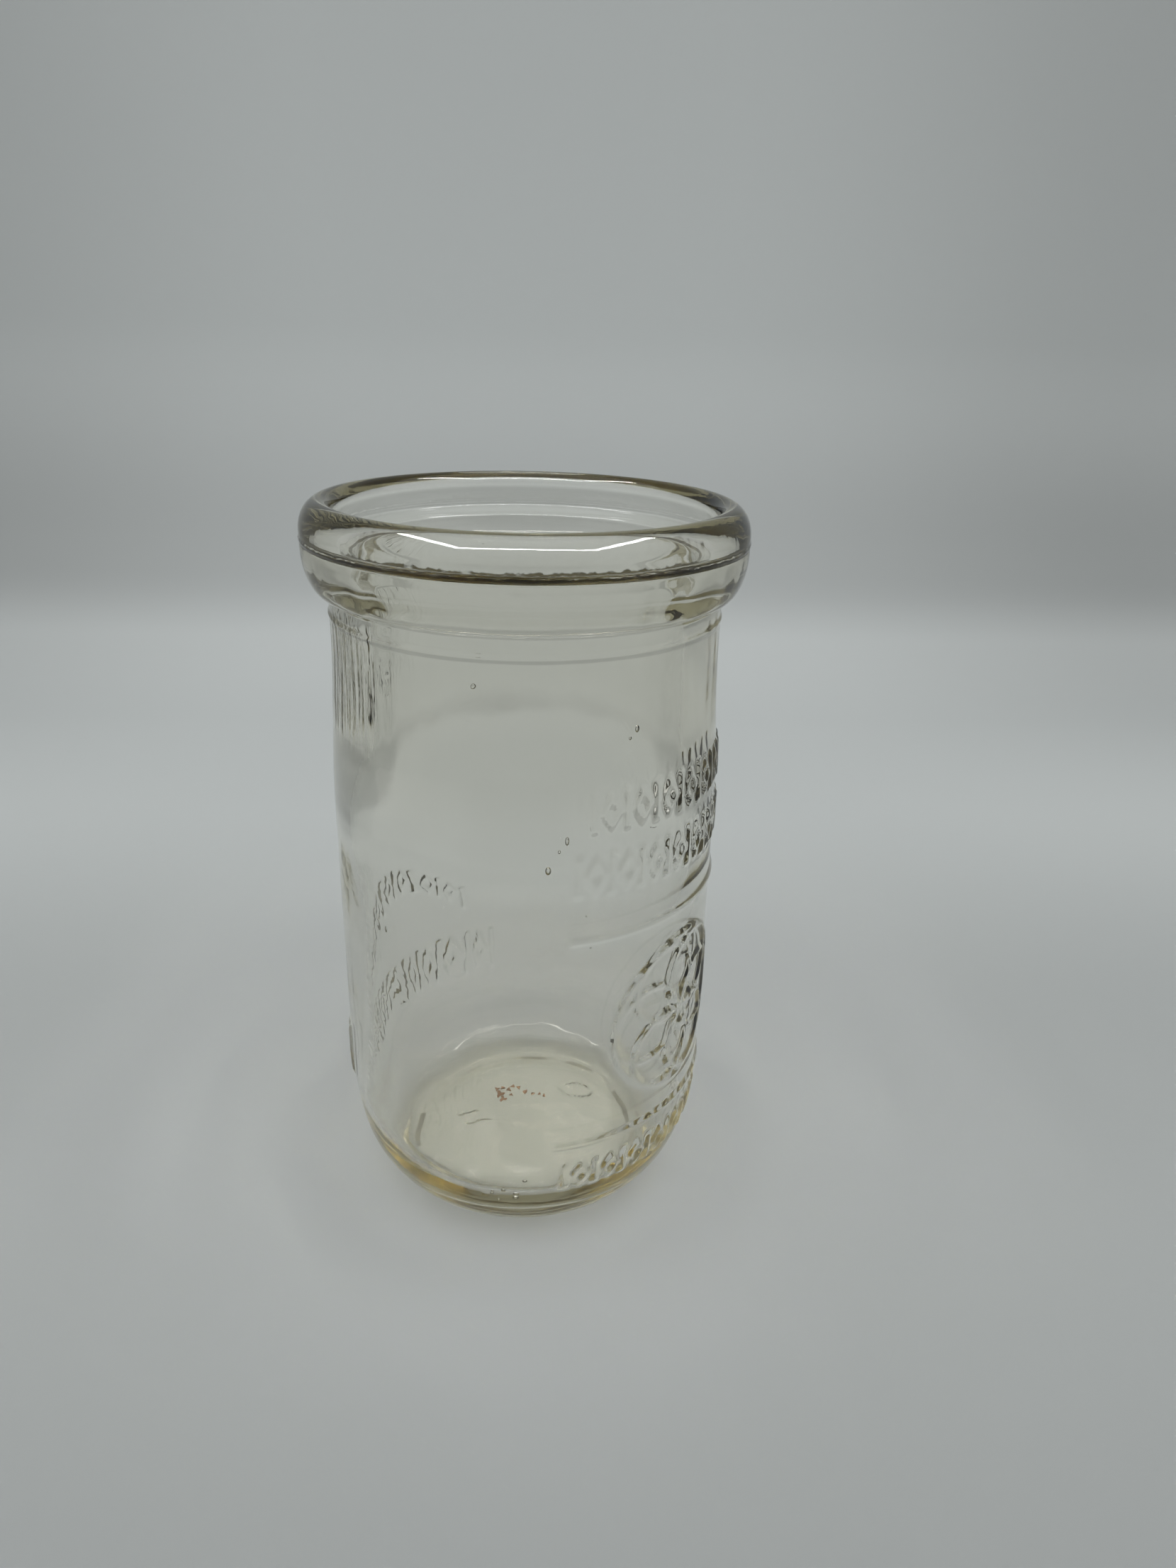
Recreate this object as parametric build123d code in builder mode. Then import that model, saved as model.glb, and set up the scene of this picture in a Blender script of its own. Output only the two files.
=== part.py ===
"""A wide-mouthed, half-pint jar of pressed and blown glass, standing on its foot ring.

The jar is one piece of glass. Its axis is Z, and the foot ring rests on z = 0.
Angles run anticlockwise from +X, seen from above. All sizes are in millimetres.
"""

import os
from math import cos, radians, sin

from build123d import *

# ---- outside ----
body_radius = 31.0
total_height = 119.2
heel_arcs = ((3.0, 40), (133.5, 1), (18.9, 38), (66.6, 11))  # (radius, turn in degrees), upwards
taper_start = 69.3  # the straight wall ends here and draws in to the neck
neck_radius = 29.9
neck_start = 101.0
neck_top = 106.0  # where the collar's underside springs from the neck
neck_fillet = 0.7
collar_radius = 33.5
collar_height = 113.9  # height of the collar's widest line
crown_radius = 30.4  # radius of the lip's highest line

# ---- inside ----
mouth_radius = 28.6
lip_depth = 2.2  # from the crown down to the straight mouth wall
seat_height = 113.5  # outer edge of the ledge that a disc lid would rest on
seat_drop = 0.8  # the ledge falls this much towards its inner edge
seat_corner = 0.5
ledge_radius = 26.6
ledge_edge = 0.7  # the rounding of the ledge's inner edge
throat_radius = 24.3  # where the neck is narrowest inside
throat_top = 104.0  # the funnel under the ledge has drawn in to the throat here
throat_bottom = 89.0
bore_radius = 27.9
bore_top = 66.0
inner_heel_reach = 6.9
inner_heel_rise = 12.5
floor_height = 7.0
floor_crown = 0.9  # the floor is this much higher on the axis

# ---- underside ----
foot_width = 1.0
push_up = 0.9

# ---- mould marks ----
collar_seam = (0.25, 0.8)  # (height of the ridge, its width)
neck_bead = (0.2, 1.0)
neck_bead_level = 102.8
wall_seam = (0.18, 0.5)
wall_seam_angle = 79.0  # the other seam is opposite

# ---- raised panels ----
relief = 0.42  # how far the marks stand out
root = 0.6  # how far they are rooted in the wall
line_width = 0.9
crest_angle = -38.0  # the way this panel faces, in degrees
dairy_angle = 148.0


# ---------------------------------------------------------------- lines of the profile
def heel_size():
    """How far the heel reaches outwards and upwards, from the foot to the straight wall."""
    turned, reach, rise = 0.0, 0.0, 0.0
    for radius, turn in heel_arcs:
        a, b = radians(turned), radians(turned + turn)
        reach += radius * (sin(b) - sin(a))
        rise += radius * (cos(a) - cos(b))
        turned += turn
    return reach, rise


heel_reach, heel_rise = heel_size()
foot_radius = body_radius - heel_reach


def ease(start, end):
    """Two equal arcs from one upright wall to another, starting and ending upright."""
    middle = ((start[0] + end[0]) / 2, (start[1] + end[1]) / 2)
    upright = (0, 1 if end[1] > start[1] else -1)
    first = TangentArc(start, middle, tangent=upright)
    TangentArc(middle, end, tangent=first % 1)


def heel_wall_and_taper(skin=0.0):
    """Draw the outside from the foot to the neck, moved outwards by skin. Returns its two ends."""
    foot = start = (foot_radius, -skin)
    tangent = (1, 0)
    for radius, turn in heel_arcs:
        arc = JernArc(start, tangent, radius + skin, turn)
        start, tangent = arc @ 1, arc % 1
    wall_top = (body_radius + skin, taper_start)
    Line(start, wall_top)
    neck = (neck_radius + skin, neck_start)
    ease(wall_top, neck)
    return foot, neck


def bead(radius, level, ridge):
    """A low rounded ridge on an upright wall. Returns its lower and upper ends."""
    height, width = ridge
    low, high = (radius, level - width / 2), (radius, level + width / 2)
    ThreePointArc(low, (radius + height, level), high)
    return low, high


# ---------------------------------------------------------------- the glass
underside_spring = foot_radius - foot_width
collar_root = neck_radius + neck_fillet
lip_start = total_height - lip_depth
bore_bottom = floor_height + inner_heel_rise
floor_radius = bore_radius - inner_heel_reach
seam_half = collar_seam[1] / 2
funnel_top = seat_height - seat_drop - ledge_edge

with BuildPart() as jar:
    with BuildSketch(Plane.XZ):
        with BuildLine():
            # underside and foot ring
            TangentArc((0, push_up), (underside_spring, 0), tangent=(1, 0))
            Line((underside_spring, 0), (foot_radius, 0))
            # heel, wall and neck
            heel_wall_and_taper()
            bead_low, bead_high = bead(neck_radius, neck_bead_level, neck_bead)
            Line((neck_radius, neck_start), bead_low)
            Line(bead_high, (neck_radius, neck_top - neck_fillet))
            # collar, with the seam round its widest line
            TangentArc(
                (neck_radius, neck_top - neck_fillet), (collar_root, neck_top), tangent=(0, 1)
            )
            EllipticalCenterArc(
                (collar_root, collar_height - seam_half),
                collar_radius - collar_root,
                collar_height - seam_half - neck_top,
                start_angle=270,
                arc_size=90,
            )
            bead(collar_radius, collar_height, collar_seam)
            EllipticalCenterArc(
                (crown_radius, collar_height + seam_half),
                collar_radius - crown_radius,
                total_height - collar_height - seam_half,
                start_angle=0,
                arc_size=90,
            )
            # lip, mouth and the ledge for a disc lid
            EllipticalCenterArc(
                (crown_radius, lip_start),
                crown_radius - mouth_radius,
                lip_depth,
                start_angle=90,
                arc_size=90,
            )
            Line((mouth_radius, lip_start), (mouth_radius, seat_height + seat_corner))
            seat = TangentArc(
                (mouth_radius, seat_height + seat_corner),
                (mouth_radius - seat_corner, seat_height),
                tangent=(0, -1),
            )
            ledge_end = (ledge_radius + ledge_edge, seat_height - seat_drop)
            Line(seat @ 1, ledge_end)
            TangentArc((ledge_radius, funnel_top), ledge_end, tangent=(0, 1))
            # funnel, throat, bore and floor
            ease((ledge_radius, funnel_top), (throat_radius, throat_top))
            Line((throat_radius, throat_top), (throat_radius, throat_bottom))
            ease((throat_radius, throat_bottom), (bore_radius, bore_top))
            Line((bore_radius, bore_top), (bore_radius, bore_bottom))
            EllipticalCenterArc(
                (floor_radius, bore_bottom),
                inner_heel_reach,
                inner_heel_rise,
                start_angle=270,
                arc_size=90,
            )
            axis_top = (0, floor_height + floor_crown)
            TangentArc(axis_top, (floor_radius, floor_height), tangent=(1, 0))
            Line(axis_top, (0, push_up))
        make_face()
    revolve(axis=Axis.Z)


# ---------------------------------------------------------------- relief on the wall
def facing(angle):
    """An upright plane through the axis that faces outwards at angle, with its y upwards."""
    outward = Vector(1, 0, 0).rotate(Axis.Z, angle)
    across = Vector(0, 1, 0).rotate(Axis.Z, angle)
    return Plane(origin=(0, 0, 0), x_dir=across, z_dir=outward)


def across(angle):
    """How far along a panel's plane a mark lies that is angle round the wall from its middle."""
    return body_radius * sin(radians(angle))


bar_width = 1.1
lozenge_width = 3.8


def lozenge(width, tall, mode=Mode.ADD):
    """A four-sided figure standing on its point."""
    Polygon((width / 2, 0), (0, tall / 2), (-width / 2, 0), (0, -tall / 2), mode=mode)


def mark_row(level, tall, span, count, arch=0.0):
    """Bars and hollow lozenges in turn round the wall, over span degrees; arch lifts the middle."""
    for i in range(count):
        angle = span * (i / (count - 1) - 0.5)
        lift = arch * cos(radians(180 * angle / span))
        squeeze = cos(radians(angle))  # a mark looks narrower where the wall turns away
        with Locations((across(angle), level + lift)):
            if i % 2:
                hollow = 1 - line_width / (lozenge_width * squeeze / 2)
                lozenge(lozenge_width * squeeze, tall)
                lozenge(lozenge_width * squeeze * hollow, tall * hollow, mode=Mode.SUBTRACT)
            else:
                Rectangle(bar_width * squeeze, tall)


def band(level, span):
    """A thin level line round the wall, over span degrees."""
    with Locations((0, level)):
        Rectangle(2 * across(span / 2), line_width)


rosette_radius = 14.0

with BuildSketch() as large_ring:
    Circle(rosette_radius)
    Circle(rosette_radius - line_width, mode=Mode.SUBTRACT)

with BuildSketch() as small_ring:
    Circle(rosette_radius / 2)
    Circle(rosette_radius / 2 - line_width, mode=Mode.SUBTRACT)

# two rows, a rosette of six rings between two lines, and a row on the heel
with BuildSketch(facing(crest_angle)) as crest_marks:
    mark_row(level=80.5, tall=6.0, span=68, count=15)
    mark_row(level=71.0, tall=6.5, span=76, count=17)
    band(level=60.5, span=80)
    with Locations((0, 42.0)):
        add(large_ring.sketch)
        with PolarLocations(rosette_radius / 2, 6):
            add(small_ring.sketch)
    band(level=23.3, span=88)
    mark_row(level=16.8, tall=5.5, span=80, count=17)

# an arched row over a taller level row
with BuildSketch(facing(dairy_angle)) as dairy_marks:
    mark_row(level=38.0, tall=7.0, span=64, count=13, arch=9.0)
    mark_row(level=24.5, tall=9.5, span=86, count=17)


def panel(marks):
    """Raise a panel's marks as a skin that follows the heel and wall and is rooted in the glass."""
    with BuildPart() as raised:
        with BuildSketch(Plane.XZ):
            with BuildLine():
                outer_foot, outer_top = heel_wall_and_taper(relief)
                inner_foot, inner_top = heel_wall_and_taper(-root)
                Line(outer_foot, inner_foot)
                Line(outer_top, inner_top)
            make_face()
        revolve(axis=Axis.Z)
        extrude(marks.sketch, amount=2 * body_radius, mode=Mode.INTERSECT)
    return raised.part


# the two upright seams of the body mould
with BuildPart() as wall_seams:
    with BuildSketch(Plane.XY.offset(heel_rise)):
        with PolarLocations(body_radius, 2, wall_seam_angle):
            Rectangle(2 * wall_seam[0], wall_seam[1])
    extrude(amount=taper_start - heel_rise)

# marks under the base, inside the foot ring: two strokes and an oval loop
mark_bottom = 0.2  # they stop short of the table
stroke_places = (-10.9, 3.0), (-9.1, 0.3)
stroke_length, stroke_width, stroke_turn = 5.0, 0.7, 12
oval_place = (10.2, 9.0)
oval_long, oval_short, oval_line = 3.2, 2.0, 0.7

with BuildPart() as base_marks:
    with BuildSketch(Plane.XY.offset(mark_bottom)):
        with Locations(*stroke_places):
            Rectangle(stroke_length, stroke_width, rotation=stroke_turn)
        with Locations(oval_place):
            Ellipse(oval_long, oval_short)
            Ellipse(oval_long - oval_line, oval_short - oval_line, mode=Mode.SUBTRACT)
    extrude(amount=push_up)

with jar:
    add(panel(crest_marks))
    add(panel(dairy_marks))
    add(wall_seams.part)
    add(base_marks.part)

jar.part.label = "jar"

os.makedirs("parts", exist_ok=True)
export_step(jar.part, "parts/jar.step")
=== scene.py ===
"""The looks of a wide-mouthed, half-pint jar of pressed and blown glass, around its CAD frame.

Run as a script: it loads the frame and makes each piece with its own operator. Lengths are in
metres, +Z is up, the jar stands on z = 0 and angles run anticlockwise from +X, seen from above.
"""

import math
import random

import bmesh
import bpy
import numpy as np
from mathutils import Matrix, Vector, noise


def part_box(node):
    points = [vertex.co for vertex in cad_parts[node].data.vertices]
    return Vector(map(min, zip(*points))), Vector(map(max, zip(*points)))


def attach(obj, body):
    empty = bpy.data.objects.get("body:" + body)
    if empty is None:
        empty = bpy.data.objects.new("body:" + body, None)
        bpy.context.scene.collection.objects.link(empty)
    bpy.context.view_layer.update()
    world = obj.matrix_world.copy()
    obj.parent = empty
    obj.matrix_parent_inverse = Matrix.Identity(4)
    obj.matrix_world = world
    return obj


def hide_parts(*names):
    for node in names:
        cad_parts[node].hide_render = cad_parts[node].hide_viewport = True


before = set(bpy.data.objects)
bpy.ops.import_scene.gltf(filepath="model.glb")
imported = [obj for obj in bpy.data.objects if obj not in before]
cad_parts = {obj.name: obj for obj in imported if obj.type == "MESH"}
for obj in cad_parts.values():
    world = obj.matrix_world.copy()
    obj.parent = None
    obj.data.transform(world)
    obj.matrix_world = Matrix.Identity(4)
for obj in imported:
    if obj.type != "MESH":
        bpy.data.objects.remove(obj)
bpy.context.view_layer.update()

bl_info = {
    "name": "Pressed glass jar",
    "version": (1, 0, 0),
    "blender": (4, 5, 0),
    "location": "View3D > Sidebar > Glass jar",
    "description": "Makes a wide-mouthed glass jar, the flecks on its floor and a plain stage",
    "category": "Object",
}

MM = 0.001
ROOT = "root"
JAR_NODE = "jar"
JAR_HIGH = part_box(JAR_NODE)[1]


# ================================================================ sizes and colours
def length(name, description, default):
    """A length property in metres."""
    return bpy.props.FloatProperty(
        name=name, description=description, default=default, unit="LENGTH", precision=5, min=0.0
    )


def colour(name, description, default):
    """A linear colour property."""
    return bpy.props.FloatVectorProperty(
        name=name, description=description, default=default, subtype="COLOR", size=3, min=0, max=1
    )


class JarSizes(bpy.types.PropertyGroup):
    """The jar's profile. Its height comes from the CAD node."""

    height: length("Height", "From the table to the lip's crown", JAR_HIGH.z)
    body_radius: length("Body radius", "Outside of the straight wall", 31.0 * MM)
    neck_radius: length("Neck radius", "Outside of the neck under the collar", 29.9 * MM)
    collar_radius: length("Collar radius", "Outside of the collar, without its seam", 33.5 * MM)
    crown_radius: length("Crown radius", "Radius of the lip's highest line", 30.4 * MM)
    mouth_radius: length("Mouth radius", "Inside of the mouth, above the ledge", 28.6 * MM)
    ledge_radius: length("Ledge radius", "Inside of the ledge that a lid rests on", 26.6 * MM)
    throat_radius: length("Throat radius", "Inside of the neck, where it is narrowest", 24.3 * MM)
    bore_radius: length("Bore radius", "Inside of the body", 27.9 * MM)
    collar_height: length("Collar height", "Height of the collar's widest line", 113.9 * MM)
    neck_top: length("Neck top", "Height where the collar springs from the neck", 106.0 * MM)
    seat_height: length("Seat height", "Height of the lid's ledge", 113.5 * MM)
    taper_start: length("Taper start", "Height where the wall starts to draw in", 69.3 * MM)
    neck_start: length("Neck start", "Height where the taper has reached the neck", 101.0 * MM)
    throat_top: length("Throat top", "Height where the funnel has drawn in to the throat", 104.0 * MM)
    throat_bottom: length("Throat bottom", "Height where the throat starts to widen", 89.0 * MM)
    bore_top: length("Bore top", "Height where the bore has its full width", 66.0 * MM)
    floor_height: length("Floor height", "Height of the inside floor at its edge", 7.0 * MM)
    relief: length("Relief", "How far the raised marks stand out", 0.42 * MM)
    softness: length("Softness", "Half width of the marks' rounded edges", 0.38 * MM)
    wave: length("Wave", "How uneven the inner skin is", 0.13 * MM)


class GlassLook(bpy.types.PropertyGroup):
    """The finish of the glass, the shade painted on its seam and lip, and the flecks that lie in the
    jar.
    """

    tint: colour("Tint", "Colour that thick glass turns white light", (0.70, 0.66, 0.48))
    density: bpy.props.FloatProperty(
        name="Density", description="How quickly the glass takes up light", default=40.0, min=0
    )
    ior: bpy.props.FloatProperty(
        name="IOR", description="Refractive index of soda-lime glass", default=1.52, min=1
    )
    # painted shade: the dark colour painted along the front of the collar's seam and lip
    seam_and_lip_shade: colour("Stain", "Colour of the dirt on the collar's seam and lip", (0.045, 0.032, 0.010))
    fleck: colour("Fleck", "Colour of the dried residue", (0.15, 0.08, 0.038))


class StageLook(bpy.types.PropertyGroup):
    """The stage: a pale sweep with painted shade, soft light all round and a few long lamps overhead.
    """

    sweep: colour("Sweep", "Colour of the floor and backdrop", (0.622, 0.642, 0.640))
    fill: bpy.props.FloatProperty(
        name="Fill", description="Strength of the light from all round", default=0.97, min=0
    )
    lamps: bpy.props.FloatProperty(
        name="Lamps", description="Power of each lamp for each square metre of it", default=75.0, min=0
    )
    lens: bpy.props.FloatProperty(
        name="Lens", description="Focal length", default=24.97, subtype="DISTANCE_CAMERA", min=1
    )
    camera_distance: length("Distance", "From the jar's axis to the camera, level", 166.2 * MM)
    camera_height: length("Camera height", "Height of the camera", 143.1 * MM)


CAMERA_TURNS = (math.radians(3.53), math.radians(22.91), math.radians(1.576))  # yaw, pitch, roll
GLASS_BOUNCES = 32  # light is handed on many times inside thick glass
LAMPS = (  # name, place, (length, width)
    ("lamp_front", (0.0, -0.52, 0.70), (0.90, 0.07)),
    ("lamp_left", (-0.42, -0.18, 0.70), (0.07, 0.56)),
    ("lamp_right", (0.42, -0.18, 0.70), (0.07, 0.56)),
)


# ================================================================ lines of the profile
def ellipse(centre, across, up, start, end, count):
    """Points of an elliptical arc, in degrees from the +R axis."""
    angles = np.radians(np.linspace(start, end, count))
    return np.column_stack(
        (centre[0] + across * np.cos(angles), centre[1] + up * np.sin(angles))
    )


def straight(start, end, step):
    """Points along a line, about step apart."""
    gap = math.dist(start, end)
    share = np.linspace(0, 1, max(2, round(gap / step) + 1))[:, None]
    return np.array(start) * (1 - share) + np.array(end) * share


def ease(start, end, step):
    """Points along two equal arcs that join two upright walls."""
    rise, run = (end[1] - start[1]) / 2, (end[0] - start[0]) / 2
    radius = (rise * rise + run * run) / (2 * abs(run))
    count = max(6, round(2 * abs(rise) / step))
    t = np.linspace(0, 2, count + 1)
    near = np.where(t <= 1, t, 2 - t) * rise
    sag = math.copysign(1, run) * (radius - np.sqrt(radius * radius - near * near))
    return np.column_stack((start[0] + np.where(t <= 1, sag, 2 * run - sag), start[1] + t * rise))


HEEL_ARCS = (  # (radius, turn), from the foot up
    (3.0 * MM, 40),
    (133.5 * MM, 1),
    (18.9 * MM, 38),
    (66.6 * MM, 11),
)
FOOT_WIDTH = 1.0 * MM
PUSH_UP = 0.9 * MM
NECK_BEAD = (102.8 * MM, 0.2 * MM, 0.45 * MM)  # level, height, half width
LIP_DEPTH = 2.2 * MM
SEAT_DROP = 0.8 * MM
SEAT_CORNER = 0.5 * MM
LEDGE_EDGE = 0.7 * MM
NECK_FILLET = 0.7 * MM
INNER_HEEL = (6.9 * MM, 12.5 * MM)  # reach, rise
FLOOR_CROWN = 0.9 * MM
SEAM_HALF = 1.0 * MM  # half height of the stretch that holds the collar's seam
FINE, PLAIN_STEP = 0.5 * MM, 1.6 * MM  # between rings, on the raised panels and inside
HEEL_ROW_BOTTOM, EMBLEM_TOP = 13.3 * MM, 56.8 * MM  # marks on both panels lie between these
BAND_LOW, BAND_HIGH = 59.4 * MM, 61.6 * MM  # the line over the emblem
WRINKLES_LOW = 82 * MM  # upright wrinkles in the inner skin fade out below this
ROW_LOW, TOP_ROW_END = 67.0 * MM, 84.4 * MM  # the two top rows

CREST_ANGLE, DAIRY_ANGLE = -38.0, 148.0  # the way each raised panel faces
PANEL_HALF = 46.0  # degrees of fine columns each side of a panel's middle

# columns round the jar: (degrees between plain columns, between fine ones, where the fine ones are)
PLAIN = (2.0, 2.0, ())
BOTH_PANELS = (2.0, 0.8, (CREST_ANGLE, DAIRY_ANGLE))
CREST_ONLY = (2.0, 0.8, (CREST_ANGLE,))
SEAM = (0.6, 0.6, ())


class Stretch:
    """Part of the profile: its points, the columns that it is divided into, and its name."""

    def __init__(self, name, points, columns):
        self.name, self.points, self.columns = name, np.asarray(points), columns


def heel_points(sizes):
    """The heel's arcs from the foot ring up to the straight wall."""
    reach = rise = turned = 0.0
    walked = [(0.0, 0.0)]
    for radius, turn in HEEL_ARCS:
        start, end = math.radians(turned), math.radians(turned + turn)
        count = max(4, round(radius * (end - start) / FINE))
        for angle in np.linspace(start, end, count + 1)[1:]:
            along = reach + radius * (math.sin(angle) - math.sin(start))
            up = rise + radius * (math.cos(start) - math.cos(angle))
            walked.append((along, up))
        reach, rise = walked[-1]
        turned += turn
    foot = sizes.body_radius - reach
    return np.array([(foot + along, up) for along, up in walked])


def base_and_wall(s):
    """The outside from the middle of the base up to the neck."""
    heel = heel_points(s)
    foot, spring = heel[0], (heel[0][0] - FOOT_WIDTH, 0.0)
    dome_radius = (spring[0] ** 2 + PUSH_UP**2) / (2 * PUSH_UP)
    dome_turn = math.degrees(math.asin(spring[0] / dome_radius))
    dome = ellipse((0, PUSH_UP - dome_radius), dome_radius, dome_radius, 90, 90 - dome_turn, 32)
    plain_heel = int(np.searchsorted(heel[:, 1], HEEL_ROW_BOTTOM))
    wall = s.body_radius
    drawn_in = ease((wall, s.taper_start), (s.neck_radius, s.neck_start), FINE)
    bare_taper = int(np.searchsorted(drawn_in[:, 1], TOP_ROW_END))
    return [
        Stretch("underside", dome[1:], PLAIN),
        Stretch("foot", straight(spring, foot, 0.9 * MM)[1:-1], PLAIN),
        Stretch("wall", heel[:plain_heel:2], PLAIN),
        Stretch("wall", heel[plain_heel:], BOTH_PANELS),
        Stretch("wall", straight(heel[-1], (wall, EMBLEM_TOP), FINE)[1:], BOTH_PANELS),
        Stretch("wall", straight((wall, BAND_LOW), (wall, BAND_HIGH), FINE), CREST_ONLY),
        Stretch("wall", straight((wall, ROW_LOW), (wall, s.taper_start), FINE), CREST_ONLY),
        Stretch("wall", drawn_in[1:bare_taper], CREST_ONLY),
        Stretch("wall", drawn_in[bare_taper::2], PLAIN),
    ]


def neck_and_lip(s):
    """The neck, the collar with its seam, the lip and the ledge for a lid."""
    neck_end = s.neck_top - NECK_FILLET
    neck = straight((s.neck_radius, s.neck_start), (s.neck_radius, neck_end), 0.24 * MM)
    root = (s.neck_radius + NECK_FILLET, neck_end)
    under, over = s.collar_height - SEAM_HALF, s.collar_height + SEAM_HALF
    swell = (s.collar_radius - root[0], under - s.neck_top)
    crown = (s.collar_radius - s.crown_radius, s.height - over)
    lip_start = s.height - LIP_DEPTH
    roll = (s.crown_radius - s.mouth_radius, LIP_DEPTH)
    seat_low = s.seat_height - SEAT_DROP
    corner = (s.mouth_radius - SEAT_CORNER, s.seat_height + SEAT_CORNER)
    edge = (s.ledge_radius + LEDGE_EDGE, seat_low - LEDGE_EDGE)
    inner_wall = straight((s.mouth_radius, lip_start), (s.mouth_radius, corner[1]), 0.7 * MM)
    ledge = straight((corner[0], s.seat_height), (edge[0], seat_low), 0.7 * MM)
    return [
        Stretch("neck", neck[1:], PLAIN),
        Stretch("collar", ellipse(root, NECK_FILLET, NECK_FILLET, 180, 90, 5)[1:], PLAIN),
        Stretch("collar", ellipse((root[0], under), *swell, 270, 352, 14)[1:], PLAIN),
        Stretch("seam", straight((s.collar_radius, under), (s.collar_radius, over), 0.16 * MM), SEAM),
        Stretch("collar", ellipse((s.crown_radius, over), *crown, 8, 90, 12), PLAIN),
        Stretch("lip", ellipse((s.crown_radius, lip_start), *roll, 90, 180, 10)[1:], PLAIN),
        Stretch("mouth", inner_wall[1:], PLAIN),
        Stretch("seat", ellipse(corner, SEAT_CORNER, SEAT_CORNER, 0, -90, 5)[1:], PLAIN),
        Stretch("seat", ledge[1:], PLAIN),
        Stretch("seat", ellipse(edge, LEDGE_EDGE, LEDGE_EDGE, 90, 180, 5)[1:], PLAIN),
    ]


def bore_and_floor(s):
    """The inside, from under the ledge down to the middle of the floor."""
    funnel_top = s.seat_height - SEAT_DROP - LEDGE_EDGE
    bottom = s.floor_height + INNER_HEEL[1]
    reach = s.bore_radius - INNER_HEEL[0]
    dome = (reach**2 + FLOOR_CROWN**2) / (2 * FLOOR_CROWN)
    turn = math.degrees(math.asin(reach / dome))
    middle = s.floor_height + FLOOR_CROWN - dome
    funnel = ease((s.ledge_radius, funnel_top), (s.throat_radius, s.throat_top), 0.8 * MM)
    throat = straight((s.throat_radius, s.throat_top), (s.throat_radius, s.throat_bottom), PLAIN_STEP)
    widening = ease((s.throat_radius, s.throat_bottom), (s.bore_radius, s.bore_top), PLAIN_STEP)
    bore = straight((s.bore_radius, s.bore_top), (s.bore_radius, bottom), PLAIN_STEP)
    return [
        Stretch("bore", funnel[1:], PLAIN),
        Stretch("bore", throat[1:], PLAIN),
        Stretch("bore", widening[1:], PLAIN),
        Stretch("bore", bore[1:], PLAIN),
        Stretch("floor", ellipse((reach, bottom), *INNER_HEEL, 0, -90, 22)[1:], PLAIN),
        Stretch("floor", ellipse((0, middle), dome, dome, 90 - turn, 90, 14)[1:-1], PLAIN),
    ]


# ================================================================ raised marks
LINE = 0.9 * MM
BAR_HALF, LOZENGE_HALF = 0.55 * MM, 1.9 * MM  # half widths
ROSETTE_LEVEL, ROSETTE_RADIUS = 42.0 * MM, 14.0 * MM
UPPER_BAND, LOWER_BAND = (60.5 * MM, 40.0), (23.3 * MM, 44.0)  # level, half span
WALL_SEAM = (79.0, 0.16 * MM, 0.3 * MM)  # angle, height, half width
WALL_SEAM_FOOT = 8 * MM
BASE_MARK_HEIGHT = 0.25 * MM
STROKE_TURN = math.radians(12)
STROKE_HALF = (2.5 * MM, 0.35 * MM)
STROKES = ((-10.0 * MM, 5.2 * MM), (-8.8 * MM, 2.2 * MM))  # along and across their own turn
OVAL_CENTRE, OVAL_REACH = (10.2 * MM, 9.0 * MM), (3.2, 2.0)
OVAL_SIZE, OVAL_LINE = 2.6, (2.3 * MM, 0.35 * MM)  # scale, then middle and half of its line
SEAM_RIDGE, SEAM_RIDGE_HALF = 0.07 * MM, 0.24 * MM
SKIN_WAVE = (9 * MM, 0.03 * MM, 3)  # size, depth and seed of the outer skin's unevenness
WRINKLE = (2.4 * MM, 0.09 * MM, 29)
DRAWN_UP, LONG_DRAWN_UP = [1, 1, 0.45], [1, 1, 0.15]  # these draw a pattern out up the wall


def block(x, y, centre, half):
    """Signed distance to an upright rectangle, negative inside."""
    return np.maximum(np.abs(x - centre[0]) - half[0], np.abs(y - centre[1]) - half[1])


def hoop(x, y, centre, radius):
    """Signed distance to a ring whose outer edge has this radius."""
    middle = radius - LINE / 2
    return np.abs(np.hypot(x - centre[0], y - centre[1]) - middle) - LINE / 2


def lozenge(x, y, centre, half):
    """Signed distance, near enough, to a hollow lozenge."""
    slope = math.hypot(half[0], half[1]) / (half[0] * half[1])
    inside = (np.abs(x - centre[0]) / half[0] + np.abs(y - centre[1]) / half[1] - 1) / slope
    return np.abs(inside + LINE / 2) - LINE / 2


def row(x, y, radius, level, tall, span, count, arch=0.0):
    """Signed distance to a row of bars and hollow lozenges in turn, over span degrees."""
    nearest = np.full_like(x, 1.0)
    for i in range(count):
        angle = span * (i / (count - 1) - 0.5)
        centre = (
            radius * math.sin(math.radians(angle)),
            level + arch * math.cos(math.radians(180 * angle / span)),
        )
        squeeze = math.cos(math.radians(angle))
        if i % 2:
            mark = lozenge(x, y, centre, (LOZENGE_HALF * squeeze, tall / 2))
        else:
            mark = block(x, y, centre, (BAR_HALF * squeeze, tall / 2))
        nearest = np.minimum(nearest, mark)
    return nearest


def band(x, y, radius, level, half_span):
    """Signed distance to a level line round the wall."""
    return block(x, y, (0, level), (radius * math.sin(math.radians(half_span)), LINE / 2))


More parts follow.
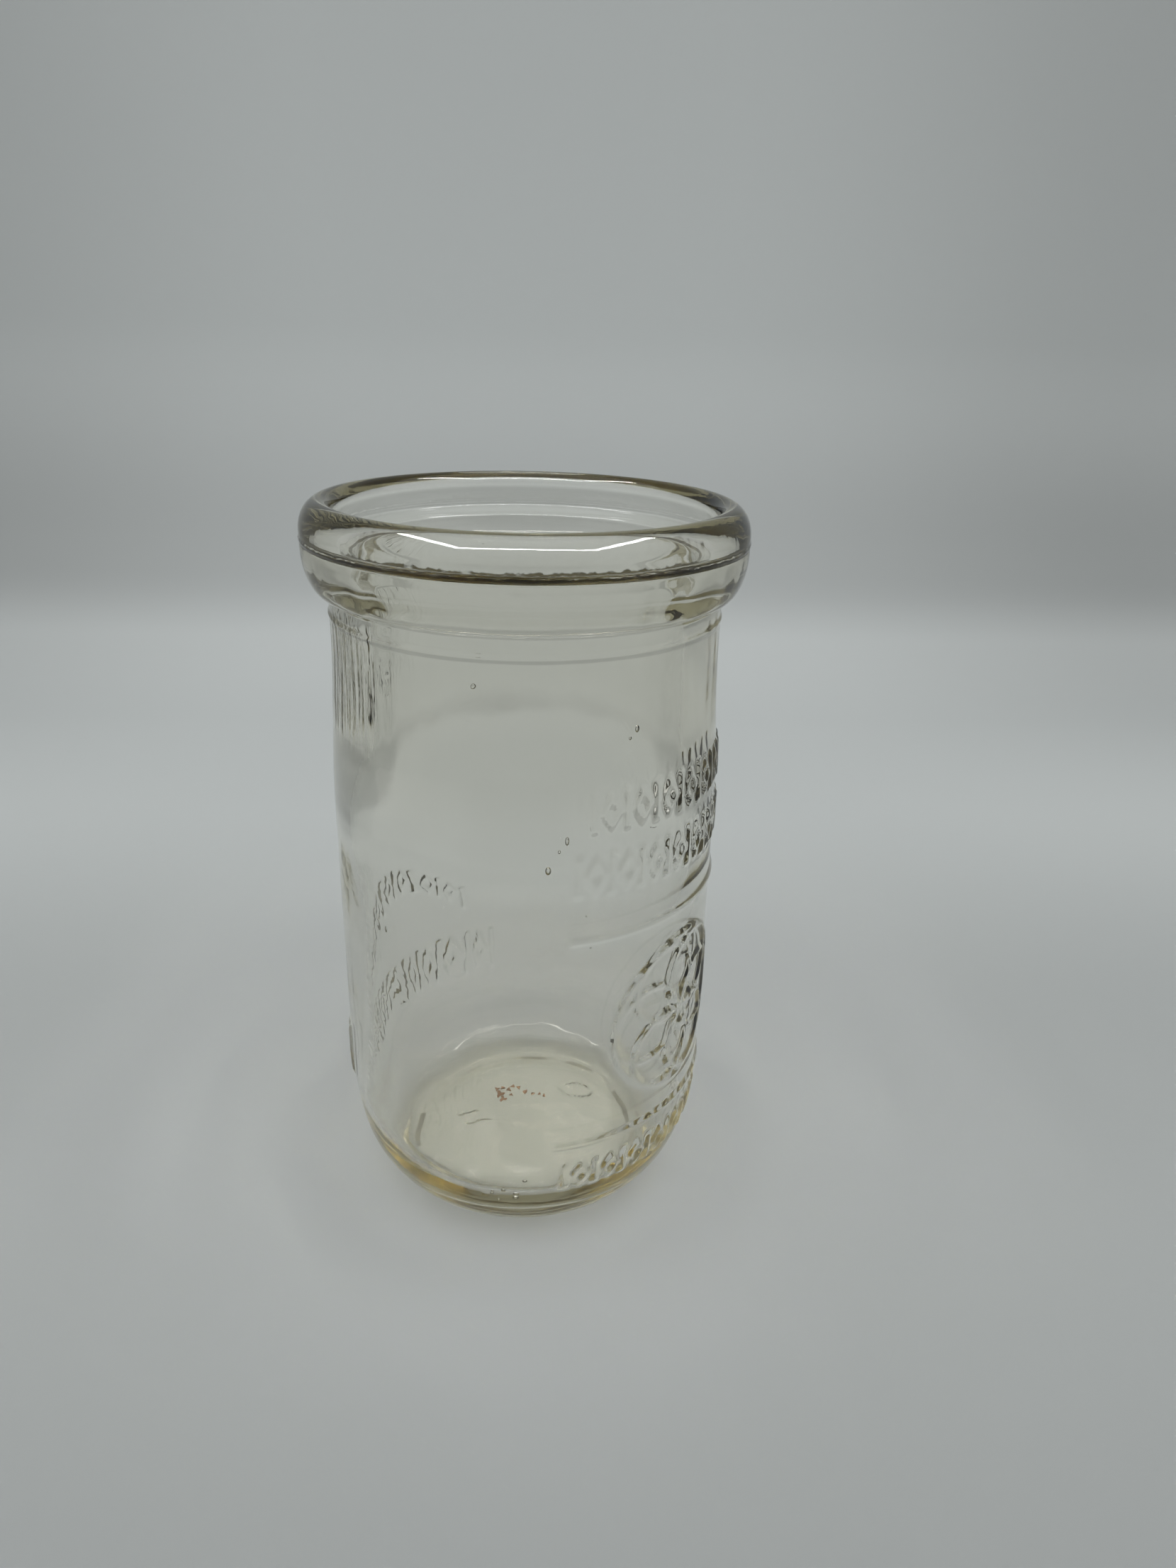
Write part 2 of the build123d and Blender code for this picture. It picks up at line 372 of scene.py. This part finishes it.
def crest_marks(x, y, radius):
    """Two rows, a rosette of six rings between two lines, and a row on the heel."""
    marks = [
        row(x, y, radius, level=80.5 * MM, tall=6.0 * MM, span=68, count=15),
        row(x, y, radius, level=71.0 * MM, tall=6.5 * MM, span=76, count=17),
        band(x, y, radius, *UPPER_BAND),
        hoop(x, y, (0, ROSETTE_LEVEL), ROSETTE_RADIUS),
        band(x, y, radius, *LOWER_BAND),
        row(x, y, radius, level=16.8 * MM, tall=5.5 * MM, span=80, count=17),
    ]
    for petal in range(6):
        turn = math.radians(60 * petal)
        centre = (
            ROSETTE_RADIUS / 2 * math.cos(turn),
            ROSETTE_LEVEL + ROSETTE_RADIUS / 2 * math.sin(turn),
        )
        marks.append(hoop(x, y, centre, ROSETTE_RADIUS / 2))
    return np.minimum.reduce(marks)


def dairy_marks(x, y, radius):
    """An arched row over a taller level row."""
    return np.minimum(
        row(x, y, radius, level=38.0 * MM, tall=7.0 * MM, span=64, count=13, arch=9.0 * MM),
        row(x, y, radius, level=24.5 * MM, tall=9.5 * MM, span=86, count=17),
    )


def rounded(distance, softness):
    """1 inside a mark and 0 outside, with a rounded edge between."""
    t = np.clip(0.5 - distance / (2 * softness), 0, 1)
    return t * t * (3 - 2 * t)


def turn_from(angles, middle):
    """Angles, in degrees, measured from middle and kept within half a turn."""
    return (angles - middle + 180) % 360 - 180


def panel_height(angles, level, sizes):
    """How far the raised marks stand out at each point of the wall."""
    out = np.zeros_like(angles)
    for facing, marks in ((CREST_ANGLE, crest_marks), (DAIRY_ANGLE, dairy_marks)):
        turn = turn_from(angles, facing)
        x = sizes.body_radius * np.sin(np.radians(turn))
        y = np.full_like(x, level)
        here = rounded(marks(x, y, sizes.body_radius), sizes.softness)
        out = np.maximum(out, np.where(np.abs(turn) < PANEL_HALF, here, 0))
    return out * sizes.relief


def wall_seams(angles, level, sizes):
    """The two upright seams of the body mould, as fine ridges."""
    angle, ridge, half = WALL_SEAM
    turn = turn_from(angles * 2, angle * 2) / 2
    across = np.radians(turn) * sizes.body_radius
    return ridge * np.exp(-((across / half) ** 2)) * (level > WALL_SEAM_FOOT)


def base_marks(x, y, sizes):
    """Two strokes and an oval loop under the base."""
    along = x * math.cos(STROKE_TURN) + y * math.sin(STROKE_TURN)
    across = y * math.cos(STROKE_TURN) - x * math.sin(STROKE_TURN)
    strokes = [block(along, across, centre, STROKE_HALF) for centre in STROKES]
    (middle_x, middle_y), (reach_x, reach_y) = OVAL_CENTRE, OVAL_REACH
    stretched = np.hypot((x - middle_x) / reach_x, (y - middle_y) / reach_y) * OVAL_SIZE
    loop = np.abs(stretched - OVAL_LINE[0]) - OVAL_LINE[1]
    return BASE_MARK_HEIGHT * rounded(np.minimum.reduce([*strokes, loop]), sizes.softness)


def rough_seam(angles, level, sizes):
    """The collar's seam: a ragged ridge with a broken lower edge."""
    jitter = np.array([noise.noise(Vector((a * 0.9, 0.3, 0))) for a in angles])
    bite = np.array([noise.noise(Vector((a * 2.1, 7.7, 0))) for a in angles])
    middle = sizes.collar_height + (0.16 * jitter + 0.05 * bite) * MM
    half = SEAM_RIDGE_HALF + (0.10 * bite + 0.06 * jitter) * MM
    return SEAM_RIDGE * (1 + 0.5 * bite) * np.exp(-(((level - middle) / half) ** 4))


def ripple(points, size, depth, seed):
    """Smooth unevenness of a skin of glass, with waves of about this size, at each point."""
    shift = Vector((seed, 0, 0))
    return depth * np.array([noise.noise(Vector(p) * (1 / size) + shift) for p in points])


def outward_shift(name, angles, level, points, sizes):
    """How far each point of a ring stands off the plain profile."""
    x, y = points[:, 0], points[:, 1]
    if name == "wall":
        raised = panel_height(angles, level, sizes) + wall_seams(angles, level, sizes)
        return raised + ripple(points, *SKIN_WAVE)
    if name == "neck":
        bead_level, bead_height, bead_half = NECK_BEAD
        bead = bead_height * math.exp(-(((level - bead_level) / bead_half) ** 2))
        return bead + wall_seams(angles, level, sizes) + ripple(points, *SKIN_WAVE)
    if name == "seam":
        return rough_seam(angles, level, sizes)
    if name == "underside":
        return base_marks(x, y, sizes)
    if name == "bore":
        slow = ripple(points, 14 * MM, sizes.wave, 11)
        fast = ripple(points * DRAWN_UP, 5 * MM, sizes.wave * 0.3, 19)
        in_neck = 1 / (1 + math.exp((WRINKLES_LOW - level) / (3 * MM)))
        return slow + fast + ripple(points * LONG_DRAWN_UP, *WRINKLE) * in_neck
    if name == "floor":
        return ripple(points, 9 * MM, sizes.wave * 0.35, 11)
    return np.zeros_like(angles)


# ================================================================ skins of revolution
def column_angles(columns):
    """The angles of a ring's columns, closer together across the raised panels."""
    wide, close, panels = columns
    angles, angle = [], -180.0
    while angle < 180 - close / 2:
        angles.append(angle)
        fine = any(abs(turn_from(angle, facing)) <= PANEL_HALF for facing in panels)
        angle += close if fine else wide
    return np.array(angles)


def zip_rings(faces, low, low_angles, high, high_angles):
    """Join two rings that may have different columns. low and high are their first vertices."""
    i = j = 0
    n, m = len(low_angles), len(high_angles)
    if n == m and np.allclose(low_angles, high_angles):
        for k in range(n):
            after = (k + 1) % n
            faces.append((low + k, low + after, high + after, high + k))
        return
    while i < n or j < m:
        next_low = low_angles[i + 1] if i + 1 < n else 180 + (i >= n) * 360
        next_high = high_angles[j + 1] if j + 1 < m else 180 + (j >= m) * 360
        here, there = low + i % n, high + j % m
        if next_low <= next_high:
            faces.append((here, low + (i + 1) % n, there))
            i += 1
        else:
            faces.append((here, high + (j + 1) % m, there))
            j += 1


def turned_skin(sizes):
    """Vertices and faces of the whole closed skin of the jar."""
    stretches = base_and_wall(sizes) + neck_and_lip(sizes) + bore_and_floor(sizes)
    line = np.concatenate([s.points for s in stretches])
    along = np.gradient(line, axis=0)
    along /= np.linalg.norm(along, axis=1)[:, None]
    vertices, faces, rings = [], [], []
    index, start = 0, 0
    for stretch in stretches:
        angles = column_angles(stretch.columns)
        cosines, sines = np.cos(np.radians(angles)), np.sin(np.radians(angles))
        for radius, level in stretch.points:
            out_r, out_z = along[index][1], -along[index][0]
            plain = np.column_stack((radius * cosines, radius * sines, np.full_like(angles, level)))
            away = np.column_stack((out_r * cosines, out_r * sines, np.full_like(angles, out_z)))
            shift = outward_shift(stretch.name, angles, level, plain, sizes)
            vertices.append(plain + away * np.asarray(shift)[:, None])
            rings.append((start, angles))
            start += len(angles)
            index += 1
    for (low, low_angles), (high, high_angles) in zip(rings, rings[1:]):
        zip_rings(faces, low, low_angles, high, high_angles)
    bottom, top = start, start + 1
    middle_top = sizes.floor_height + FLOOR_CROWN
    vertices.append(np.array([[0, 0, PUSH_UP], [0, 0, middle_top]]))
    first, first_angles = rings[0]
    last, last_angles = rings[-1]
    for k in range(len(first_angles)):
        faces.append((bottom, first + (k + 1) % len(first_angles), first + k))
    for k in range(len(last_angles)):
        faces.append((last + k, last + (k + 1) % len(last_angles), top))
    return np.concatenate(vertices), faces


# seeds caught in the glass: (angle, height, distance from the axis, radius, how tall)
SEEDS = (
    (-84, 72.0, 29.4, 0.42, 1.5),
    (-79, 76.5, 29.6, 0.30, 2.2),
    (-81, 74.8, 29.2, 0.20, 1.4),
    (-58, 91.5, 28.2, 0.34, 1.6),
    (-60, 90.2, 27.9, 0.22, 1.3),
    (-97, 13.2, 27.6, 0.36, 1.1),
    (-93, 11.4, 26.8, 0.50, 0.8),
    (-101, 12.1, 26.9, 0.26, 1.0),
    (-99, 10.3, 25.8, 0.22, 1.0),
    (-90, 15.6, 28.2, 0.40, 0.7),
    (-134, 58.0, 29.6, 0.22, 2.4),
    (37, 64.0, 29.5, 0.30, 1.8),
    (64, 31.0, 29.4, 0.26, 1.5),
    (112, 82.0, 28.6, 0.32, 1.9),
    (165, 93.0, 27.4, 0.28, 1.6),
    (20, 20.0, 29.0, 0.24, 1.2),
)


def add_seeds(bm):
    """Small hollow bubbles, turned inside out because air fills them."""
    for angle, level, radius, size, tall in SEEDS:
        place = Matrix.Rotation(math.radians(angle), 4, "Z") @ Matrix.Translation(
            (radius * MM, 0, level * MM)
        )
        shape = Matrix.Diagonal((size * MM * 0.8, size * MM, size * MM * tall, 1))
        made = bmesh.ops.create_icosphere(bm, subdivisions=3, radius=1, matrix=place @ shape)
        bubble = {face for vertex in made["verts"] for face in vertex.link_faces}
        bmesh.ops.reverse_faces(bm, faces=list(bubble))


def object_from(name, vertices, faces, material):
    """A smooth-shaded mesh object in the scene."""
    mesh = bpy.data.meshes.new(name)
    mesh.from_pydata([tuple(v) for v in vertices], [], faces)
    mesh.materials.append(material)
    obj = bpy.data.objects.new(name, mesh)
    bpy.context.scene.collection.objects.link(obj)
    mesh.shade_smooth()
    return obj


# ================================================================ materials
class Wire:
    """A socket in a node tree. Arithmetic on it adds Math nodes."""

    def __init__(self, tree, socket=None):
        self.tree, self.socket = tree, socket

    def node(self, kind, settings=None, inputs=None, output=0):
        """A new node: its settings first, then the values or links of its sockets."""
        made = self.tree.nodes.new(kind)
        for name, value in (settings or {}).items():
            setattr(made, name, value)
        for name, value in (inputs or {}).items():
            if isinstance(value, Wire):
                self.tree.links.new(value.socket, made.inputs[name])
            else:
                made.inputs[name].default_value = value
        return Wire(self.tree, made.outputs[output] if len(made.outputs) else None)

    def math(self, operation, first, second=0.0):
        """A Math node."""
        return self.node("ShaderNodeMath", {"operation": operation}, {0: first, 1: second})

    def __add__(self, other):
        return self.math("ADD", self, other)

    def __sub__(self, other):
        return self.math("SUBTRACT", self, other)

    def __rsub__(self, other):
        return self.math("SUBTRACT", other, self)

    def __mul__(self, other):
        return self.math("MULTIPLY", self, other)

    def __abs__(self):
        return self.math("ABSOLUTE", self)

    __radd__, __rmul__ = __add__, __mul__

    def axis(self, letter):
        """One coordinate of this vector."""
        return self.node("ShaderNodeSeparateXYZ", None, {0: self}, output=letter)

    def between(self, low, high):
        """0 at low and 1 at high, with a smooth rise. high may be the lower number."""
        values = {"Value": self, "From Min": low, "From Max": high}
        return self.node("ShaderNodeMapRange", {"interpolation_type": "SMOOTHSTEP"}, values)

    def mix(self, first, second):
        """A colour between first and second. This wire is the share of the second."""
        settings = {"data_type": "RGBA"}
        inputs = {0: self, 6: first, 7: second}
        return self.node("ShaderNodeMix", settings, inputs, output=2)

    def noise(self, place, scale, detail=2.0):
        """Smooth noise between 0 and 1, with scale bumps to a metre."""
        inputs = {"Vector": place, "Scale": scale, "Detail": detail}
        return self.node("ShaderNodeTexNoise", None, inputs, output=0)


def rgba(rgb):
    """A colour with full alpha."""
    return (*rgb[:3], 1.0)


def new_material(name):
    """A material with an empty tree, a wire that starts its expressions, and its object coordinates."""
    material = bpy.data.materials.new(name)
    material.use_nodes = True
    material.node_tree.nodes.clear()
    start = Wire(material.node_tree)
    return material, start, start.node("ShaderNodeTexCoord", output="Object")


CLEAN = (0.985, 0.985, 0.975)
SHADE_FRONT = (8 * MM, -12 * MM)  # the painted shade lies on the front of the collar
SEAM_SHADE = (0.30 * MM, 0.14 * MM)  # none beyond the first distance and full within the second
# painted shade on the lip's inner side, standing in for the seam's dark reflection seen in the lip
LIP_SHADE = (0.55 * MM, 0.25 * MM)
LIP_SHADE_DEPTH, LIP_SHADE_REACH = 1.5 * MM, (30.2 * MM, 29.6 * MM)  # below the crown, from the axis
WORN_FOOT = (0.7 * MM, 0.1 * MM)
CHILL_SIDE = (-20 * MM, -24 * MM)  # chill streaks lie on the left of the neck
CHILL_LOW, CHILL_HIGH = (84 * MM, 90 * MM), (104 * MM, 101 * MM)


def glass_material(sizes, look):
    """Clear olive glass with shade painted along the front of its seam and lip, chill streaks on the
    neck and a worn foot.
    """
    material, start, place = new_material("straw_glass")
    across, along, height = place.axis("X"), place.axis("Y"), place.axis("Z")
    front = along.between(*SHADE_FRONT)
    ragged = start.noise(place, 900.0, 3.0) - 0.5
    broken = start.noise(place, 420.0).between(0.22, 0.45)
    off_seam = abs(height - sizes.collar_height - ragged * (0.8 * MM))
    # painted shade along the collar's seam, mostly on its front, standing in for the dark look its
    # ridge gets from refraction
    seam_shade = off_seam.between(*SEAM_SHADE) * broken * (front * 0.92 + 0.08)
    # painted reflection: a dark band on the front of the lip's inner side, in place of the seam's
    # mirror image
    off_lip = abs(height - sizes.height + LIP_SHADE_DEPTH - ragged * (0.5 * MM))
    inner_side = start.math("SQRT", across * across + along * along).between(*LIP_SHADE_REACH)
    lip_shade = off_lip.between(*LIP_SHADE) * inner_side * broken * front * 0.8
    foot_wear = height.between(*WORN_FOOT) * start.noise(place, 1800.0).between(0.45, 0.7)
    hammered = start.noise(place, 190.0, 1.5) + start.noise(place, 620.0, 1.0) * 0.25
    upright = start.node("ShaderNodeVectorMath", {"operation": "MULTIPLY"}, {0: place, 1: (1, 1, 0.1)})
    chilled = across.between(*CHILL_SIDE) * height.between(*CHILL_LOW)
    streaks = start.noise(upright, 700.0, 2.0) * chilled * height.between(*CHILL_HIGH)
    bump = start.node(
        "ShaderNodeBump",
        None,
        {"Strength": 0.35, "Distance": 0.07 * MM, "Height": hammered + streaks * 20.0},
        output="Normal",
    )
    shader = start.node(
        "ShaderNodeBsdfPrincipled",
        None,
        {
            # the painted shade of the seam and lip darkens the glass's clear colour here
            "Base Color": (seam_shade + lip_shade).mix(rgba(CLEAN), rgba(look.seam_and_lip_shade)),
            "Roughness": 0.004 + start.noise(place, 60.0) * 0.008 + foot_wear * 0.25,
            "IOR": look.ior,
            "Transmission Weight": 1.0,
            "Normal": bump,
        },
    )
    depth = start.node(
        "ShaderNodeVolumeAbsorption", None, {"Color": rgba(look.tint), "Density": look.density}
    )
    start.node("ShaderNodeOutputMaterial", None, {"Surface": shader, "Volume": depth})
    return material


def fleck_material(look):
    """Dried brown residue, lighter at its crumbled edges."""
    material, start, place = new_material("dried_residue")
    crumb = start.noise(place, 2600.0, 4.0)
    brown = crumb.between(0.35, 0.7).mix(rgba(look.fleck), rgba([c * 1.7 for c in look.fleck]))
    bump = start.node(
        "ShaderNodeBump",
        None,
        {"Strength": 0.6, "Distance": 0.1 * MM, "Height": crumb},
        output="Normal",
    )
    shader = start.node(
        "ShaderNodeBsdfPrincipled",
        None,
        {"Base Color": brown, "Roughness": 0.6 + crumb * 0.3, "Normal": bump},
    )
    start.node("ShaderNodeOutputMaterial", None, {"Surface": shader})
    return material


def sweep_material(look):
    """Smooth matt paper with a faint mottle and painted shade: darker at the front, at its sides and in
    its bend.
    """
    material, start, place = new_material("pale_paper_painted_shade")
    across, along, height = place.axis("X"), place.axis("Y"), place.axis("Z")
    mottle = start.noise(place, 9.0).between(0.2, 0.8)
    # painted shade at the backdrop's sides
    sides = abs(across).between(0.07, 0.30) * along.between(0.10, 0.30)
    # painted shade in the curve between floor and backdrop
    bend = along.between(0.30, 0.335) * height.between(0.13, 0.05)
    # painted shade: the paper's colour falls to about half far in front, about three quarters near the
    # jar, and is full behind it
    level = (
        0.46
        - bend * 0.22
        + along.between(-0.40, -0.14) * 0.20
        + along.between(-0.10, -0.02) * 0.10
        + along.between(0.03, 0.16) * 0.24
        - sides * 0.20
        + mottle * 0.01
    )
    paper = level.mix(rgba((0, 0, 0)), rgba([c * 1.08 for c in look.sweep]))
    shader = start.node(
        "ShaderNodeBsdfPrincipled",
        None,
        {"Base Color": paper, "Roughness": 0.9 - mottle * 0.05, "Specular IOR Level": 0.1},
    )
    start.node("ShaderNodeOutputMaterial", None, {"Surface": shader})
    return material


# ================================================================ pieces
def make_jar(sizes, look):
    """The jar, in place of its CAD node."""
    jar = object_from("jar_glass", *turned_skin(sizes), glass_material(sizes, look))
    bm = bmesh.new()
    bm.from_mesh(jar.data)
    add_seeds(bm)
    for face in bm.faces:
        face.smooth = True
    bm.to_mesh(jar.data)
    bm.free()
    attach(jar, ROOT)
    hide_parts(JAR_NODE)


# flecks on the inside floor: (x, y, size)
FLECKS = (
    (-4.8, 3.0, 1.2),
    (-5.6, 4.4, 0.8),
    (-4.1, 1.6, 1.1),
    (-4.3, 4.7, 0.7),
    (-2.9, 4.2, 0.75),
    (-2.0, 5.0, 0.65),
    (-2.3, 2.6, 0.6),
    (-0.9, 4.6, 0.5),
    (0.3, 3.5, 0.55),
    (1.8, 2.9, 0.5),
    (3.2, 2.6, 0.45),
    (4.1, 2.2, 0.4),
)
FLECK_CORNERS = 9
FLECK_LIFT, FLECK_THICK = 0.06 * MM, 0.22 * MM
FLECK_TOP = 0.8  # how wide a fleck's top is beside its foot


def make_flecks(sizes, look):
    """Thin ragged flakes of residue, lying on the inside floor."""
    draw = random.Random(23)
    floor_radius = sizes.bore_radius - INNER_HEEL[0]
    vertices, faces = [], []
    for x, y, size in FLECKS:
        fall = FLOOR_CROWN * (math.hypot(x, y) * MM / floor_radius) ** 2
        level = sizes.floor_height + FLOOR_CROWN - fall + FLECK_LIFT
        spin = draw.uniform(0, math.tau)
        rims = []
        for rise, shrink in ((0.0, 1.0), (FLECK_THICK, FLECK_TOP)):
            rims.append(len(vertices))
            for k in range(FLECK_CORNERS):
                turn = spin + math.tau * k / FLECK_CORNERS
                reach = size * MM * shrink * (0.65 + 0.35 * math.sin(3 * turn + x))
                vertices.append(
                    (x * MM + reach * math.cos(turn), y * MM + reach * math.sin(turn), level + rise)
                )
        low, high = rims
        for k in range(FLECK_CORNERS):
            after = (k + 1) % FLECK_CORNERS
            faces.append((low + k, low + after, high + after, high + k))
        faces.append(tuple(range(high, high + FLECK_CORNERS)))
        faces.append(tuple(reversed(range(low, low + FLECK_CORNERS))))
    flecks = object_from("residue_flecks", vertices, faces, fleck_material(look))
    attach(flecks, ROOT)


def make_sweep(look):
    """A floor that curves up into a backdrop behind the jar."""
    back, curve, top, half, front = 0.38, 0.14, 1.2, 1.6, -2.5
    line = [(front, 0.0), (-0.5, 0.0), (back - curve, 0.0)]
    for step in range(1, 13):
        turn = math.radians(90 * step / 12)
        line.append((back - curve + curve * math.sin(turn), curve * (1 - math.cos(turn))))
    line.append((back, top))
    across = np.linspace(-half, half, 9)
    vertices = [(x, y, z) for y, z in line for x in across]
    width = len(across)
    faces = [
        (row * width + k, row * width + k + 1, (row + 1) * width + k + 1, (row + 1) * width + k)
        for row in range(len(line) - 1)
        for k in range(width - 1)
    ]
    sweep = object_from("sweep", vertices, faces, sweep_material(look))


def lamp(name, place, size, power):
    """A long lamp that shows only as bright lines in the glass, and isn't seen itself."""
    light = bpy.data.lights.new(name, "AREA")
    light.shape = "RECTANGLE"
    light.size, light.size_y = size
    light.energy = power
    obj = bpy.data.objects.new(name, light)
    bpy.context.scene.collection.objects.link(obj)
    obj.location = place
    obj.visible_camera = False
    obj.visible_diffuse = False


DAYLIGHT = (0.98, 1.0, 0.995)


def make_world(look):
    """Even light from all round, a little weaker from the front and from below."""
    world = bpy.data.worlds.new("soft_box")
    world.use_nodes = True
    world.node_tree.nodes.clear()
    start = Wire(world.node_tree)
    toward = start.node("ShaderNodeTexCoord", output="Generated")
    along, up = toward.axis("Y"), toward.axis("Z")
    low_front = along.between(-0.6, -0.95) * up.between(0.75, 0.3)
    level = 0.55 + up.between(-0.3, 0.8) * 0.45 - low_front * 0.45
    shade = start.node("ShaderNodeBackground", None, {0: rgba(DAYLIGHT), 1: level * look.fill})
    start.node("ShaderNodeOutputWorld", None, {"Surface": shade})
    bpy.context.scene.world = world


def make_camera(look):
    """A short lens close to the jar, from a little above its rim."""
    data = bpy.data.cameras.new("view")
    data.lens, data.sensor_width = look.lens, 36.0
    data.clip_start = 0.01
    camera = bpy.data.objects.new("view", data)
    bpy.context.scene.collection.objects.link(camera)
    yaw, pitch, roll = CAMERA_TURNS
    camera.matrix_world = (
        Matrix.Translation((0, -look.camera_distance, look.camera_height))
        @ Matrix.Rotation(-yaw, 4, "Z")
        @ Matrix.Rotation(math.pi / 2 - pitch, 4, "X")
        @ Matrix.Rotation(roll, 4, "Z")
    )
    bpy.context.scene.camera = camera


def make_stage(look):
    """The sweep, a frame of three long lamps overhead, the world's light and the camera."""
    make_sweep(look)
    for name, place, size in LAMPS:
        lamp(name, place, size, look.lamps * size[0] * size[1])
    make_world(look)
    make_camera(look)
    scene = bpy.context.scene
    scene.view_settings.view_transform = "Standard"
    scene.cycles.max_bounces = GLASS_BOUNCES
    scene.cycles.transmission_bounces = GLASS_BOUNCES
    scene.cycles.glossy_bounces = GLASS_BOUNCES
    scene.cycles.blur_glossy = 0.0


# ================================================================ add-on
class OBJECT_OT_glass_jar(bpy.types.Operator):
    """Make the glass jar around its CAD node"""

    bl_idname = "object.glass_jar"
    bl_label = "Glass Jar"

    def execute(self, context):
        make_jar(context.scene.jar_sizes, context.scene.glass_look)
        return {"FINISHED"}


class OBJECT_OT_residue_flecks(bpy.types.Operator):
    """Make the dried flecks that lie on the jar's floor"""

    bl_idname = "object.residue_flecks"
    bl_label = "Residue Flecks"

    def execute(self, context):
        make_flecks(context.scene.jar_sizes, context.scene.glass_look)
        return {"FINISHED"}


class OBJECT_OT_jar_stage(bpy.types.Operator):
    """Make the sweep, the lamps, the world and the camera"""

    bl_idname = "object.jar_stage"
    bl_label = "Stage"

    def execute(self, context):
        make_stage(context.scene.stage_look)
        return {"FINISHED"}


class VIEW3D_PT_glass_jar(bpy.types.Panel):
    """Lists the sizes, the looks and the operators"""

    bl_label = "Glass jar"
    bl_idname = "VIEW3D_PT_glass_jar"
    bl_space_type = "VIEW_3D"
    bl_region_type = "UI"
    bl_category = "Glass jar"

    def draw(self, context):
        layout = self.layout
        for group in (context.scene.jar_sizes, context.scene.glass_look, context.scene.stage_look):
            column = layout.column(align=True)
            for name in group.__annotations__:
                column.prop(group, name)
        for maker in MAKERS:
            layout.operator(maker.bl_idname)


GROUPS = (JarSizes, GlassLook, StageLook)
MAKERS = (OBJECT_OT_glass_jar, OBJECT_OT_residue_flecks, OBJECT_OT_jar_stage)


def register():
    for group in GROUPS:
        bpy.utils.register_class(group)
    bpy.types.Scene.jar_sizes = bpy.props.PointerProperty(type=JarSizes)
    bpy.types.Scene.glass_look = bpy.props.PointerProperty(type=GlassLook)
    bpy.types.Scene.stage_look = bpy.props.PointerProperty(type=StageLook)
    for maker in MAKERS:
        bpy.utils.register_class(maker)
    bpy.utils.register_class(VIEW3D_PT_glass_jar)


def unregister():
    bpy.utils.unregister_class(VIEW3D_PT_glass_jar)
    for maker in reversed(MAKERS):
        bpy.utils.unregister_class(maker)
    del bpy.types.Scene.stage_look
    del bpy.types.Scene.glass_look
    del bpy.types.Scene.jar_sizes
    for group in reversed(GROUPS):
        bpy.utils.unregister_class(group)


def main():
    """Make everything."""
    register()
    bpy.ops.object.glass_jar()
    bpy.ops.object.residue_flecks()
    bpy.ops.object.jar_stage()


if __name__ == "__main__":
    main()
